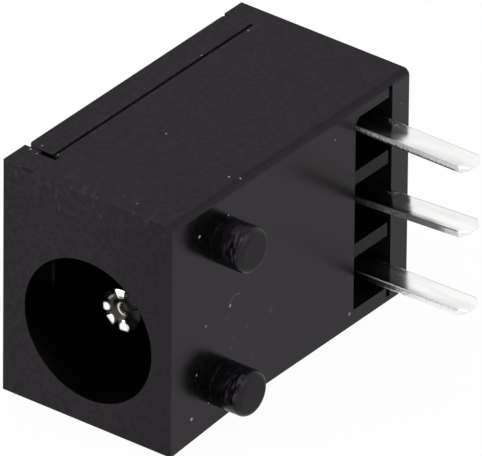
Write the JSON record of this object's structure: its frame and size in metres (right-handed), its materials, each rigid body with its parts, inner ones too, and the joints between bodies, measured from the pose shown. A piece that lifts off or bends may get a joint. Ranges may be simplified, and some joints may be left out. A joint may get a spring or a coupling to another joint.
{
  "type": "dc barrel jack",
  "caption": "Right-angle power socket for a circuit board: black moulded housing with a round mouth, a centre pin, round board pegs and flat plated terminal blades.",
  "frame": {"origin": "on the face that sits on the board, under the bore axis and level with the line of the two pegs", "axes": "+Z away from the board, -Y out of the socket mouth along the bore axis, +X towards the wide side"},
  "size_m": [0.0108, 0.0156, 0.0133],
  "materials": {
    "housing_plastic": "matte black moulding",
    "cover_plastic": "matte black moulding",
    "pin_plating": "bright nickel plating on brass",
    "pin_strap_tin": "bright tin plating on brass",
    "spring_tin": "bright tin plating on spring bronze",
    "switch_tin": "bright tin plating on brass"
  },
  "bodies": {
    "root": {"housing": "housing_plastic", "cover": "cover_plastic", "centre_pin": "pin_plating", "pin_terminal": "pin_strap_tin", "sleeve_spring": "spring_tin", "switch_contact": "switch_tin"}
  },
  "joints": []
}
